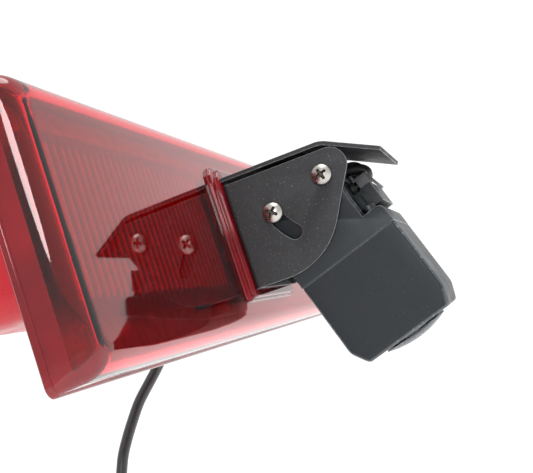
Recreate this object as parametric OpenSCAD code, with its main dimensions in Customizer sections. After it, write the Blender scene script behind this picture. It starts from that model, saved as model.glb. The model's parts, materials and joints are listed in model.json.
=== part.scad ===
// High-level brake lamp for a van with a tilting backup camera on its front.
// X runs along the lamp, -Y points outward from the vehicle, +Z is up.
// The origin is the centre of the plane where the lamp's rim meets the vehicle's skin.

/* [Lamp] */
// Length of the lens, rim not counted
lens_length = 271.2; // [262:0.2:276]
// Height of the lens, rim not counted
lens_height = 60.4; // [58:0.2:63]
// How far the lens face stands in front of the vehicle's skin
lens_depth = 12; // [11:0.5:14]
// Rounding of the lens's long front edges
lens_edge_r = 5.5; // [4:0.5:6]
// Rounding of the lens's two ends
lens_end_r = 9; // [7:0.5:10]
// Wall of the lens and the housing
lamp_wall = 2.2; // [1.8:0.1:2.6]
// How far the rim stands out past the lens
rim_overhang = 1.4; // [1:0.1:2]
// Depth of the housing behind the vehicle's skin
housing_depth = 18; // [16:1:22]
// Pitch of the vertical flutes in the optic panels
flute_pitch = 3.4; // [3:0.1:5]
// Number of light emitting diodes on each side
leds_per_side = 6; // [4:1:6]

/* [Bracket] */
// Outside width of the folded bracket
bracket_w = 45.6; // [44:0.2:48]
// Reach of the pivot from the collar's front face
pivot_reach = 29.3; // [28:0.1:31]
// Height of the pivot above the lamp's middle
pivot_z = 6.5; // [5:0.5:8]
// Sheet thickness of the bracket
sheet_t = 1.2; // [1:0.1:1.5]
// Length of the hood's sloping front
hood_slope_len = 16; // [12:0.5:20]
// Slope of the hood's front below level
hood_slope = 25.8; // [15:0.2:30]

/* [Camera head] */
// Width of the camera head across the bracket
head_w = 42.6; // [42:0.1:42.8]
// Height of the camera head
head_h = 33.3; // [32:0.1:35]
// Length of the front shell, from the seam to the front face
front_len = 28.5; // [26:0.5:32]
// How far the camera looks below level as it is stored
rest_tilt = 72.2; // [60:0.2:75]
// How far the camera can be raised from there
tilt_travel = 27; // [20:1:27]
// Distance between the pivot screw and the lock screw
screw_spacing = 18; // [17:0.1:19]

/* [Fasteners] */
// Thread diameter of the pivot, lock and bracket screws
screw_d = 3; // [3:0.5:3]
// Diameter of their pan heads
screw_head_d = 6; // [5.6:0.1:6.2]
// Height of their pan heads
screw_head_h = 2.4; // [2:0.1:2.6]
// Thread diameter of the mounting studs
stud_d = 5; // [4:1:6]
// Distance between the mounting studs
stud_spacing = 190; // [184:2:196]

/* [Cable] */
// Outer diameter of the camera cable
cable_d = 3.5; // [3.2:0.1:3.8]
// Radius of the coil at the middle of its turns
coil_r = 20; // [18:0.5:22]

/* [Hidden] */

$fn = 48;
small_gap = 0.05;
run_clear = 0.05;
over = 1;

// ---- derived places of the lamp ----
face_y = -lens_depth;
rim_t = 2.4;
half_l = lens_length / 2;
half_h = lens_height / 2;
outline_r = 3.5;
gasket_t = 0.8;
housing_half_l = 126;
housing_half_h = 14.5;
hub_half_l = 58;
hub_half_h = 22;
panel_y = [-8.2, -7];
panel_half_h = 21.5;
panel_end = half_l - 5.4;
panel_start = 30;
flute_depth = 0.3;
post_d = 5;
post_in = [8, 12];
post_z = [panel_half_h - 1.5, panel_half_h - 4.5];
board_y = [5, 6.6];
board_x = [31, 87];
board_half_h = 12;
board_screws_x = [board_x[0] + 3, board_x[1] - 3];
board_screw_d = 2;
board_boss_d = 6;
socket_x = -70;
socket_neck = [14, 8];
socket_wall = 1.8;
socket_out = [10, 7.5];
socket_back = 11;
blade_x = 5.5;
blade_section = [0.8, 3];
stud_root_d = 7.5;
stud_root_y = 8;
stud_len = 15;
led_d = 5;
led_pitch = 9;

// ---- collar and bracket ----
collar_front_y = face_y - 2.2;
collar_step_y = face_y - 1.2;
collar_top = 20;
collar_bottom = -21.4;
collar_half_h = (collar_top - collar_bottom) / 2;
collar_mid = (collar_top + collar_bottom) / 2;
collar_half_w = 28.3;
collar_step_half_w = 25;
collar_step_inset = 0.9;
collar_r = 1.5;
lens_screw_hole = 3.4;
bracket_screw_hole = 3.2;
cheek_fold_r = 1.4;
nose_run = [[0.53, -14.5], [-7.35, -0.65]];
cut_reach = 40;
pivot_y = collar_front_y - pivot_reach;
cheek_top = 7;
cheek_bottom = -24.9;
nose_r = 5.1;
nose_c = [-3, 2];
belly_r = 21.5;
belly_c = [19, -3.4];
hood_top = 9.6;
hood_bend_r = 8;
hood_bend_y = -0.7;
slot_w = 4.6;
slot_r = screw_spacing + 0.2;
slot_start = 1.4;
lead_hole_z = 8.5;
lead_hole_d = 7;
bracket_screw_x = 15;
bracket_screw_z = [-12, 4];
plate_y = [face_y + lamp_wall, face_y + lamp_wall + 2];

// ---- camera head, in its own frame: pivot at the origin, looking along -Y ----
seam_y = -22.8;
front_y = seam_y - front_len;
head_top = 8.45;
head_bottom = head_top - head_h;
head_mid = (head_top + head_bottom) / 2;
shell_wall = 2;
front_bevel = 1.2;
top_slope = [5.6, 2.3];
low_slope = [5.2, 3.1];
rear_y = 3.9;
pocket_floor = 2.3;
pocket_end_y = -16.6;
pocket_x = head_w / 2 - 3;
boss_r = 3.7;
seal_w = head_w - 2 * shell_wall;
seal_h = head_h - 2 * shell_wall;
channel_w = 10;
lead_y = -5.8;
window_w = 37;
window_h = 26;
window_t = 1.4;
dome_d = 21;
dome_rise = 2.6;
dome_skirt = 0.7;
dome_wall = 1.2;
dome_r = ((dome_rise - dome_skirt) ^ 2 + (dome_d / 2) ^ 2) / (2 * (dome_rise - dome_skirt));
window_ledge = 0.6;
barrel_d = 14;
ir_led_x = 14.6;
ir_led_rows = [-9, -3, 3, 9];
sensor_board_y = [-32, -30.4];
ir_board_y = [-46, -44.8];
shell_screw_top = [17.2, 4.4];
shell_screw_low = [10, -20.6];
shell_screw_seat = -14;
insert_d = 4;
insert_x = [14, 15];
side_screw_len = 7.5;
bracket_screw_len = 8;

// ---- cable ----
gland_base = [6, housing_depth, -15];
gland_tip = [5, 24.6, -21.2];
cable_route = [[5, 24.6, -21.2], [4, 28.6, -25.6], [3, 32.7, -30.3], [0, 36.3, -34.6],
    [-3, 39.8, -38.9], [-6, 42.5, -43.6], [-9, 44.8, -48.3], [-12, 46.7, -53.1],
    [-14, 48.1, -58], [-16, 49.3, -63], [-18, 50.2, -68], [-19.4, 50.9, -73], [-20.4, 51.4, -78],
    [-20.9, 51.8, -83], [-21, 53, -87.6], [-21, 56.2, -91.3], [-21, 60, -92.9], [-21, 62, -93]];
lead_over_head = [[lead_y, -4], [lead_y, 0], [lead_y, 3.6], [lead_y, 6.4], [-5.3, 8.2], [-4.2, 9.1],
    [-2.9, 8.9], [-1.5, 7.6], [-0.5, 5.9], [0.4, 4]];
lead_in_bracket = [[0.6, 2.5], [4, 2.9], [9, 3.2], [15, 3.1], [21, 2.6], [25.5, 2.1], [27.7, 2]];
lead_inner_route = [[0, -15.8, lead_hole_z], [0, -7.4, lead_hole_z], [0, -3, 6.5], [1, 0.5, 1.5],
    [2.5, 3.5, -4.5], [4.2, 6, -10], [5.5, 8.6, -14], [6, 11.4, -15], [6, 13.9, -15]];
coil_c = [-21, 62, -113];
coil_turns = 3.25;
coil_pitch = 3.7;
coil_section = [coil_pitch * ceil(coil_turns), cable_d + 0.2];
plug_drop = 14;
plug_top_z = coil_c[2] - plug_drop;
plug_d = 11.4;
plug_body_len = 26;
plug_ring_d = 14;
plug_bore_d = 10.6;
plug_x = coil_c[0] + coil_pitch * coil_turns;
plug_y = coil_c[1] + coil_r;

red_lens = [0.55, 0.02, 0.03];
red_housing = [0.38, 0.02, 0.03];
black_metal = [0.08, 0.08, 0.09];
black_plastic = [0.1, 0.11, 0.12];
board_green = [0.05, 0.3, 0.12];
steel = [0.75, 0.74, 0.72];

// ---- helpers ----
// A flat outline in XZ, made y0 to y1 thick
module slab_y(y0, y1) translate([0, y1, 0]) rotate([90, 0, 0]) linear_extrude(y1 - y0) children();
// A flat outline in YZ, made x0 to x1 thick
module slab_x(x0, x1) translate([x0, 0, 0]) rotate([90, 0, 90]) linear_extrude(x1 - x0) children();
// A box between two corners
module block(a, b) translate(a) cube([b[0] - a[0], b[1] - a[1], b[2] - a[2]]);
// A rectangle with round corners, given by its half sizes
module round_rect(hx, hy, r) {
    square([2 * hx - 2 * r, 2 * hy], center = true);
    square([2 * hx, 2 * hy - 2 * r], center = true);
    for (sx = [-1, 1], sy = [-1, 1]) translate([sx * (hx - r), sy * (hy - r)]) circle(r);
}
// A half open rectangle whose two corners at the low first coordinate are round
module round_nosed(u0, u1, hv, r) {
    translate([u0 + r, -hv]) square([u1 - u0 - r, 2 * hv]);
    translate([u0, -hv + r]) square([r + over / 4, 2 * hv - 2 * r]);
    for (s = [-1, 1]) translate([u0 + r, s * (hv - r)]) circle(r);
}
// The left and right copies of a thing
module both_sides() { children(); mirror([1, 0, 0]) children(); }
// A cylinder along Y from y0 to y1
module rod_y(x, z, y0, y1, d) translate([x, y1, z]) rotate([90, 0, 0]) cylinder(h = y1 - y0, d = d);
// A cylinder along X from x0 to x1, at a place in YZ
module rod_x(x0, x1, y, z, d) translate([x0, y, z]) rotate([0, 90, 0]) cylinder(h = x1 - x0, d = d);
// A place with its +Z axis turned to a direction
module along(place, run) translate(place)
    rotate([0, acos(run[2] / norm(run)), atan2(run[1], run[0])]) children();
// The camera head's own frame, tilted down about the pivot
module head_frame() translate([0, pivot_y, pivot_z]) rotate([rest_tilt, 0, 0]) children();
// A pan head screw along +Z, its head's seat at z = 0 and its shank below
module pan_screw(length) {
    difference() {
        union() {
            cylinder(h = screw_head_h * 0.55, d = screw_head_d);
            intersection() {
                translate([0, 0, screw_head_h - screw_head_d * 0.75]) sphere(r = screw_head_d * 0.75);
                cylinder(h = screw_head_h, d = screw_head_d);
            }
        }
        for (a = [0, 90]) rotate(a) translate([-1.6, -0.4, screw_head_h - 1.3]) cube([3.2, 0.8, 2]);
    }
    translate([0, 0, -length]) cylinder(h = length, d = screw_d);
}

// ---- sweeping a round tube along a route ----
function unit(v) = v / norm(v);
function tangent_at(p, i) = unit(p[min(i + 1, len(p) - 1)] - p[max(i - 1, 0)]);
function frame_side(t) = unit(cross(t, abs(t[0]) < 0.9 ? [1, 0, 0] : [0, 1, 0]));
module swept_tube(route, d, sides = 8) {
    rings = [for (i = [0:len(route) - 1]) let (t = tangent_at(route, i), u = frame_side(t), v = cross(t, u))
        for (k = [0:sides - 1]) route[i] + (d / 2) * (cos(360 * k / sides) * u + sin(360 * k / sides) * v)];
    last = (len(route) - 1) * sides;
    walls = [for (i = [0:len(route) - 2], k = [0:sides - 1]) let (a = i * sides, n = (k + 1) % sides)
        [a + sides + k, a + sides + n, a + n, a + k]];
    ends = [[for (k = [0:sides - 1]) k], [for (k = [sides - 1:-1:0]) last + k]];
    polyhedron(points = rings, faces = concat(walls, ends));
}
// A place in the head's own frame, carried to the row's frame
function from_head(y, z) = [0, pivot_y + y * cos(rest_tilt) - z * sin(rest_tilt),
    pivot_z + y * sin(rest_tilt) + z * cos(rest_tilt)];

// ================= lamp =================
module lens_form(inset) {
    intersection() {
        slab_y(face_y + inset, -gasket_t) round_rect(half_l - inset, half_h - inset, outline_r - inset);
        slab_x(-half_l, half_l) round_nosed(face_y + inset, over, half_h - inset, lens_edge_r - inset);
        translate([0, 0, -half_h]) linear_extrude(lens_height)
            rotate(90) mirror([0, 1, 0])
                round_nosed(face_y + inset, over, half_l - inset, lens_end_r - inset);
    }
}

// Red clear cover with its rim, and the collar that the bracket stands on
module lens_shell() color(red_lens) difference() {
    union() {
        lens_form(0);
        slab_y(-rim_t, -gasket_t) round_rect(half_l + rim_overhang, half_h + rim_overhang * 0.6, outline_r);
        slab_y(collar_step_y, face_y + over) translate([0, collar_mid])
            round_rect(collar_half_w, collar_half_h, collar_r);
        slab_y(collar_front_y, collar_step_y) translate([0, collar_mid])
            round_rect(collar_step_half_w, collar_half_h - collar_step_inset, collar_r);
    }
    lens_form(lamp_wall);
    slab_y(-rim_t, over) round_rect(half_l - lamp_wall, half_h - lamp_wall, outline_r - lamp_wall);
    rod_y(0, lead_hole_z, collar_front_y - over, 0, lead_hole_d);
    for (s = [-1, 1], z = bracket_screw_z)
        rod_y(s * bracket_screw_x, z, collar_front_y - over, 0, lens_screw_hole);
}

module housing_outline(inset) {
    round_rect(housing_half_l - inset, housing_half_h - inset, 6 - inset);
    round_rect(hub_half_l - inset, hub_half_h - inset, 6 - inset);
}

// Stepped back half, which goes into the vehicle's cut-out
module lamp_housing() color(red_housing) difference() {
    union() {
        slab_y(-rim_t, -gasket_t) round_rect(half_l - lamp_wall, half_h - lamp_wall, outline_r - lamp_wall);
        slab_y(-rim_t, housing_depth) housing_outline(0);
        for (sx = [-1, 1], x = [panel_start + post_in[0], panel_end - post_in[1]], sz = [-1, 1])
            rod_y(sx * x, sz * (x > hub_half_l ? post_z[1] : post_z[0]), panel_y[1], -rim_t, post_d);
    }
    difference() {
        slab_y(-rim_t - over, housing_depth - lamp_wall) housing_outline(lamp_wall);
        for (s = [-1, 1]) rod_y(s * stud_spacing / 2, 0, 6, housing_depth, 11);
        for (s = [-1, 1], x = board_screws_x)
            rod_y(s * x, 0, board_y[1], housing_depth, board_boss_d);
    }
    for (s = [-1, 1]) rod_y(s * stud_spacing / 2, 0, stud_root_y, housing_depth + over, stud_root_d);
    for (s = [-1, 1], x = board_screws_x)
        rod_y(s * x, 0, board_y[1] - over, 13, board_screw_d);
    translate([gland_base[0], 0, gland_base[2]]) rod_y(0, 0, 10, housing_depth + over, 6);
    slab_y(10, housing_depth + over) translate([socket_x, 0]) square(socket_neck, center = true);
}

// One half of the fluted screen behind the lens face
module optic_panel() intersection() {
    flute_step = flute_pitch / 8;
    flutes = [for (x = [panel_start:flute_step:panel_end])
        [x, panel_y[0] + flute_depth * cos(360 * x / flute_pitch)]];
    translate([0, 0, -half_h]) linear_extrude(lens_height)
        polygon(concat([[panel_end, panel_y[1]], [panel_start, panel_y[1]]], flutes));
    slab_y(panel_y[0] - over, panel_y[1] + over) translate([(panel_end + panel_start) / 2, 0])
        round_rect((panel_end - panel_start) / 2, panel_half_h, 5);
}
module optic_panel_left() color(red_lens) mirror([1, 0, 0]) optic_panel();
module optic_panel_right() color(red_lens) optic_panel();

module led_board() difference() {
    slab_y(board_y[0], board_y[1]) translate([(board_x[0] + board_x[1]) / 2, 0])
        round_rect((board_x[1] - board_x[0]) / 2, board_half_h, 2);
    for (x = board_screws_x) rod_y(x, 0, 0, 10, 2.2);
}
module led_board_left() color(board_green) mirror([1, 0, 0]) led_board();
module led_board_right() color(board_green) led_board();

module led_row() for (i = [0:leds_per_side - 1], s = [-1, 1])
    translate([board_x[0] + 6 + i * led_pitch, board_y[0], s * 6]) rotate([90, 0, 0]) {
        cylinder(h = 1, d = led_d + 0.8);
        cylinder(h = 5, d = led_d);
        translate([0, 0, 5]) intersection() {
            sphere(d = led_d);
            cylinder(h = led_d, d = led_d);
        }
    }
module leds_left() color([0.9, 0.25, 0.2]) mirror([1, 0, 0]) led_row();
module leds_right() color([0.9, 0.25, 0.2]) led_row();

module led_board_screws() color(steel) both_sides() for (x = board_screws_x) {
    rod_y(x, 0, board_y[0] - 1.4, board_y[0], 3.8);
    rod_y(x, 0, board_y[0], 12, board_screw_d);
}

// Foam ring that seals the lamp to the vehicle's skin
module rim_gasket() color([0.12, 0.12, 0.12]) difference() {
    slab_y(-gasket_t, 0) round_rect(half_l - 0.5, half_h - 0.5, outline_r);
    slab_y(-over, over) housing_outline(0);
}

// Studs moulded into the housing by a thicker root
module mounting_studs() color(steel) for (s = [-1, 1]) {
    rod_y(s * stud_spacing / 2, 0, stud_root_y, housing_depth, stud_root_d);
    rod_y(s * stud_spacing / 2, 0, housing_depth, housing_depth + stud_len, stud_d);
}

// Shrouded inlet for the brake lamp's own supply
module lamp_socket() color(black_plastic) translate([socket_x, 0, 0]) difference() {
    union() {
        slab_y(housing_depth, housing_depth + socket_back) round_rect(socket_out[0], socket_out[1], 2);
        slab_y(11, housing_depth) square(socket_neck, center = true);
    }
    slab_y(housing_depth + 1.5, housing_depth + socket_back + over)
        round_rect(socket_out[0] - socket_wall, socket_out[1] - socket_wall, 1);
    blade_pair(10, housing_depth + 5);
}
module blade_pair(y0, y1) for (s = [-1, 1]) translate([s * blade_x, 0, 0])
    slab_y(y0, y1) square(blade_section, center = true);
module socket_blades() color([0.8, 0.68, 0.35]) translate([socket_x, 0, 0])
    blade_pair(8.5, housing_depth + 9);

// Tapped steel plate inside the lens, which the bracket's screws pull against
module backing_plate() color(steel) difference() {
    slab_y(plate_y[0], plate_y[1]) translate([0, -1.5]) round_rect(20, 15, 2);
    rod_y(0, lead_hole_z, plate_y[0] - over, 0, lead_hole_d);
    for (s = [-1, 1], z = bracket_screw_z) rod_y(s * bracket_screw_x, z, -20, 0, screw_d);
}

// ================= bracket =================
// Side view of a cheek, measured from the pivot
module cheek_outline() {
    intersection() {
        translate(belly_c) circle(belly_r, $fn = 96);
        translate([-nose_r - 3, cheek_bottom]) square([pivot_reach + nose_r + 3, cheek_top - cheek_bottom]);
    }
    translate(nose_c) circle(nose_r);
    polygon([[nose_c[0], cheek_top + 0.1], [pivot_reach, cheek_top + 0.1], [pivot_reach, cheek_bottom],
        [belly_c[0], cheek_bottom], nose_run[0], nose_run[1], nose_c]);
}
// Curved slot about the pivot, for the lock screw
module lock_slot() {
    ring_in = slot_r - slot_w / 2;
    ring_out = slot_r + slot_w / 2;
    a0 = -(90 - rest_tilt) - slot_start;
    a1 = -(90 - rest_tilt) - tilt_travel;
    intersection() {
        difference() {
            circle(ring_out, $fn = 96);
            circle(ring_in, $fn = 96);
        }
        polygon(concat([[0, 0]], [for (a = [a0, (a0 + a1) / 2, a1]) 2 * slot_r * [cos(a), sin(a)]]));
    }
    for (a = [a0, a1]) translate(slot_r * [cos(a), sin(a)]) circle(d = slot_w);
}
// Side view of the hood: level, one soft bend, then the sloping front
module hood_profile() {
    centre = [hood_bend_y, hood_top - hood_bend_r];
    last = 8;
    bend = [for (i = [0:last]) let (a = 90 + hood_slope * i / last) [cos(a), sin(a)]];
    slope = hood_slope_len * [-cos(hood_slope), -sin(hood_slope)];
    outer = [for (u = bend) centre + hood_bend_r * u];
    inner = [for (u = bend) centre + (hood_bend_r - sheet_t) * u];
    polygon(concat([[pivot_reach, hood_top]], outer, [outer[last] + slope, inner[last] + slope],
        [for (i = [last:-1:0]) inner[i]], [[pivot_reach, hood_top - sheet_t]]));
}

// Folded sheet: back plate, two cheeks and the hood
module bracket() color(black_metal) difference() {
    union() {
        translate([0, pivot_y, pivot_z]) intersection() {
            slab_x(-bracket_w / 2, bracket_w / 2) cheek_outline();
            translate([0, 0, -40]) linear_extrude(60) difference() {
                rotate(-90) round_nosed(-pivot_reach, 20, bracket_w / 2, cheek_fold_r);
                rotate(-90) round_nosed(-pivot_reach + sheet_t, 30, bracket_w / 2 - sheet_t, 0.5);
            }
        }
        translate([0, pivot_y, pivot_z]) {
            slab_x(-bracket_w / 2, bracket_w / 2) hood_profile();
            slab_x(-bracket_w / 2 + 3, bracket_w / 2 - 3)
                translate([pivot_reach - sheet_t, 0]) square([sheet_t, hood_top - sheet_t / 2]);
        }
    }
    translate([0, pivot_y, pivot_z]) {
        rod_x(-cut_reach, cut_reach, 0, 0, screw_d + 2 * run_clear);
        slab_x(-cut_reach, cut_reach) lock_slot();
    }
    rod_y(0, lead_hole_z, -20, 0, lead_hole_d);
    for (s = [-1, 1], z = bracket_screw_z) rod_y(s * bracket_screw_x, z, -20, 0, bracket_screw_hole);
}

module bracket_screws() color(steel) for (s = [-1, 1], z = bracket_screw_z)
    translate([s * bracket_screw_x, collar_front_y - sheet_t, z]) rotate([90, 0, 0])
        pan_screw(bracket_screw_len);

module bracket_grommet() color([0.06, 0.06, 0.06]) difference() {
    union() {
        rod_y(0, lead_hole_z, collar_front_y - sheet_t, plate_y[1], lead_hole_d);
        rod_y(0, lead_hole_z, collar_front_y - sheet_t - 1.4, collar_front_y - sheet_t, lead_hole_d + 2.4);
    }
    rod_y(0, lead_hole_z, -20, 0, cable_d);
}

module inner_lead() color([0.07, 0.07, 0.08]) swept_tube(lead_inner_route, cable_d);

// Rubber strain relief where the cable leaves the housing
module cable_gland() {
    run = gland_tip - gland_base;
    color([0.06, 0.06, 0.06]) difference() {
        union() {
            rod_y(gland_base[0], gland_base[2], housing_depth, housing_depth + 1.6, 9);
            rod_y(gland_base[0], gland_base[2], housing_depth - 4, housing_depth, 6);
            intersection() {
                along(gland_base, run) cylinder(h = norm(run), d1 = 7.4, d2 = 5);
                block([-10, housing_depth, -40], [20, 40, 0]);
            }
        }
        along(gland_base, run) translate([0, 0, -over]) cylinder(h = norm(run) + 2 * over, d = cable_d);
        rod_y(gland_base[0], gland_base[2], 10, housing_depth + 1, cable_d);
    }
}

// ================= camera head =================
module front_outline(inset) polygon([
    [seam_y + over, head_bottom + inset],
    [front_y + low_slope[0] + inset / 2, head_bottom + inset],
    [front_y + inset, head_bottom + low_slope[1] + inset / 2],
    [front_y + inset, head_top - top_slope[1] - inset / 2],
    [front_y + top_slope[0] + inset / 2, head_top - inset],
    [seam_y + over, head_top - inset]]);

module front_shell() color(black_plastic) head_frame() difference() {
    intersection() {
        slab_x(-head_w / 2, head_w / 2) front_outline(0);
        block([-30, front_y - over, -40], [30, seam_y, 20]);
        translate([0, 0, -40]) linear_extrude(60) polygon([[-head_w / 2, seam_y + over],
            [-head_w / 2, front_y + front_bevel], [-head_w / 2 + front_bevel / 2, front_y],
            [head_w / 2 - front_bevel / 2, front_y], [head_w / 2, front_y + front_bevel],
            [head_w / 2, seam_y + over]]);
    }
    slab_x(-head_w / 2 + shell_wall, head_w / 2 - shell_wall) intersection() {
        front_outline(shell_wall);
        translate([front_y + 3, -40]) square([40, 60]);
    }
    translate([0, 0, head_mid]) {
        slab_y(front_y - over, front_y + window_t) round_rect(window_w / 2 + 0.1, window_h / 2 + 0.1, 2.1);
        slab_y(front_y, front_y + 5) round_rect(window_w / 2 - 1.4, window_h / 2 - 1.4, 1.5);
    }
}

// Side view of the rear shell, with a round corner about each screw
module rear_outline() {
    low = -screw_spacing;
    translate([seam_y - over, head_bottom]) square([over - seam_y - 9, -head_bottom + head_top - 2]);
    translate([seam_y - over, 0]) square([over - seam_y + pocket_end_y, head_top - 2]);
    translate([seam_y - over, head_top - 2.1]) square([over - seam_y + pocket_end_y - 2, 2.1]);
    translate([pocket_end_y - 2, head_top - 2]) circle(2);
    polygon([[-12, head_bottom], [-5, head_bottom], [rear_y - 0.6, low - 1.8], [rear_y, low], [rear_y, 0.3],
        [-12, 0.3]]);
    translate([-12, 0]) square([12, boss_r]);
    circle(boss_r);
    translate([0, low]) circle(rear_y);
}

module rear_shell() color(black_plastic) head_frame() difference() {
    intersection() {
        slab_x(-head_w / 2, head_w / 2) rear_outline();
        block([-30, seam_y, -40], [30, 10, 20]);
    }
    block([-40, pocket_end_y, pocket_floor], [40, rear_y - boss_r - 4.6, 20]);
    both_sides() block([pocket_x, pocket_end_y, pocket_floor - 0.4], [40, -boss_r - 3.4, 20]);
    block([-head_w / 2 + shell_wall, seam_y - over, head_bottom + shell_wall],
        [head_w / 2 - shell_wall, -7.5, pocket_floor - shell_wall]);
    block([-head_w / 2 + shell_wall, seam_y - over, 0],
        [head_w / 2 - shell_wall, pocket_end_y - shell_wall, head_top - shell_wall]);
    block([-12, -8, head_bottom + 4], [12, rear_y - shell_wall, -11.5]);
    block([-channel_w / 2, -3.2, -10], [channel_w / 2, 10, 20]);
    block([-channel_w / 2, -8.6, pocket_floor], [channel_w / 2, 10, 20]);
    translate([0, lead_y, -6]) cylinder(h = 20, d = 5);
    both_sides() {
        for (z = [0, -screw_spacing]) rod_x(insert_x[0], cut_reach, 0, z, insert_d);
        rod_y(shell_screw_top[0], shell_screw_top[1], -30, 0, 2.6);
        rod_y(shell_screw_low[0], shell_screw_low[1], -30, shell_screw_seat, 2.6);
        rod_y(shell_screw_low[0], shell_screw_low[1], shell_screw_seat, 10, 5);
    }
}

module shell_seal() color([0.05, 0.05, 0.05]) head_frame() translate([0, 0, head_mid]) difference() {
    slab_y(seam_y - 1.5, seam_y + 1.5) square([seal_w, seal_h], center = true);
    slab_y(seam_y - 2, seam_y + 2) square([seal_w - 1.6, seal_h - 1.6], center = true);
}

module thread_inserts() color([0.8, 0.66, 0.3]) head_frame() both_sides()
    for (z = [0, -screw_spacing]) difference() {
        rod_x(insert_x[1], head_w / 2, 0, z, insert_d);
        rod_x(insert_x[0], cut_reach, 0, z, screw_d);
    }

module side_screws(z) color(steel) head_frame() both_sides()
    translate([bracket_w / 2 + small_gap, 0, z]) rotate([0, 90, 0]) pan_screw(side_screw_len);
module pivot_screws() side_screws(0);
module lock_screws() side_screws(-screw_spacing);

// Dark infrared-pass plate in the front face, its hole stepped to seat the dome
module front_window() color([0.03, 0.02, 0.03]) head_frame() translate([0, 0, head_mid]) difference() {
    slab_y(front_y, front_y + window_t) round_rect(window_w / 2, window_h / 2, 2);
    rod_y(0, 0, front_y - over, front_y + window_t - window_ledge, dome_d + 2 * small_gap);
    rod_y(0, 0, front_y - over, front_y + window_t + over, dome_d - 2);
}

// Clear shallow dome over the lens: a short skirt and a crown
module dome_cover() color([0.1, 0.12, 0.15]) head_frame() translate([0, 0, head_mid]) difference() {
    union() {
        rod_y(0, 0, front_y - dome_skirt, front_y + window_t - window_ledge, dome_d);
        intersection() {
            translate([0, front_y - dome_rise + dome_r, 0]) sphere(r = dome_r, $fn = 96);
            rod_y(0, 0, front_y - dome_rise - over, front_y - dome_skirt + small_gap, dome_d);
        }
    }
    intersection() {
        translate([0, front_y - dome_rise + dome_r, 0]) sphere(r = dome_r - dome_wall, $fn = 96);
        rod_y(0, 0, front_y - dome_rise, front_y + window_t, dome_d - 2 * dome_wall);
    }
}

module lens_barrel() color([0.04, 0.04, 0.04]) head_frame() translate([0, 0, head_mid]) difference() {
    union() {
        rod_y(0, 0, front_y + 2.2, -41.1, barrel_d);
        rod_y(0, 0, -42, -36, 12);
    }
    rod_y(0, 0, front_y + 2, front_y + 6, 11);
    rod_y(0, 0, front_y + 5, -35, 7);
}
module lens_glass() color([0.15, 0.2, 0.3]) head_frame() translate([0, 0, head_mid]) {
    intersection() {
        rod_y(0, 0, front_y + 2.6, front_y + 6, 11);
        translate([0, front_y + 11.4, 0]) sphere(r = 9);
    }
    rod_y(0, 0, -40, -38, 7);
}
module lens_holder() color([0.05, 0.05, 0.05]) head_frame() translate([0, 0, head_mid]) difference() {
    slab_y(-41, sensor_board_y[0]) round_rect(8, 8, 1);
    rod_y(0, 0, -42, -35, 12);
    slab_y(-36, sensor_board_y[0] + over) square([10, 10], center = true);
}
module image_sensor() color([0.1, 0.1, 0.12]) head_frame() translate([0, 0, head_mid])
    slab_y(sensor_board_y[0] - 1.1, sensor_board_y[0]) square([8, 8], center = true);
module sensor_board() color(board_green) head_frame() translate([0, 0, head_mid])
    slab_y(sensor_board_y[0], sensor_board_y[1]) round_rect(15, 12.5, 1.5);

module ir_board() color(board_green) head_frame() translate([0, 0, head_mid]) difference() {
    slab_y(ir_board_y[0], ir_board_y[1]) round_rect(18.4, 13.2, 1.5);
    rod_y(0, 0, -48, -44, barrel_d + 1.5);
}
module ir_leds() color([0.7, 0.7, 0.78]) head_frame() translate([0, 0, head_mid])
    for (s = [-1, 1], z = ir_led_rows) translate([s * ir_led_x, ir_board_y[0], z]) rotate([90, 0, 0]) {
        cylinder(h = 1.6, d = 4.4);
        translate([0, 0, 1.6]) intersection() {
            sphere(d = 4.4);
            cylinder(h = 1.8, d = 4.4);
        }
    }
module light_sensor() color([0.75, 0.45, 0.2]) head_frame()
    rod_y(10.4, head_mid - 10.2, ir_board_y[0] - 2, ir_board_y[0], 3.4);

module shell_screw(place, seat_y, head_d, length) {
    rod_y(place[0], place[1], seat_y, seat_y + 1.8, head_d);
    rod_y(place[0], place[1], seat_y - length, seat_y, 2.5);
}
module shell_screws() color(steel) head_frame() both_sides() {
    shell_screw(shell_screw_top, pocket_end_y, 4, 5);
    shell_screw(shell_screw_low, shell_screw_seat, 4.4, 9);
}

// Bar that clamps the lead to the head, beside its outlet
module lead_clamp() color(black_plastic) head_frame() {
    block([-11, -15, pocket_floor], [11, -8.8, 4.65]);
    slab_x(-13, 13) {
        translate([-15.3, 6]) square([6.7, 3.1]);
        translate([-15.3, 4.65]) square([5.3, 1.4]);
        translate([-10, 6.05]) circle(1.4);
    }
}

module head_grommet() color([0.05, 0.05, 0.05]) head_frame() translate([0, lead_y, 0]) difference() {
    union() {
        cylinder(h = pocket_floor, d = 5);
        translate([0, 0, pocket_floor]) cylinder(h = 1.6, d1 = 5.6, d2 = 4.8);
    }
    translate([0, 0, -over]) cylinder(h = 10, d = cable_d);
}

// Nylon tie round the lead, its cut tail lying over the clamp
module lead_tie() color([0.25, 0.25, 0.26]) head_frame() {
    translate([0, lead_y, 5]) difference() {
        cylinder(h = 2.4, d = cable_d + 1.8);
        translate([0, 0, -over]) cylinder(h = 5, d = cable_d);
    }
    difference() {
        translate([-4.2, lead_y - 1.8, 5]) cube([3, 3.6, 3.9]);
        translate([0, lead_y, 0]) cylinder(h = 20, d = cable_d);
    }
    translate([-3, lead_y - 1.2, 8.9]) rotate([-14, 0, 0])
        translate([-1.3, -4.4, 0]) cube([2.6, 4.6, 0.9]);
}

// Lead from inside the head, over the pivot's line and into the lamp
module head_lead() color([0.05, 0.05, 0.06]) swept_tube(concat(
    [for (p = lead_over_head) from_head(p[0], p[1])],
    [for (p = lead_in_bracket) [0, pivot_y + p[0], pivot_z + p[1]]]), cable_d, 10);

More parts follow.
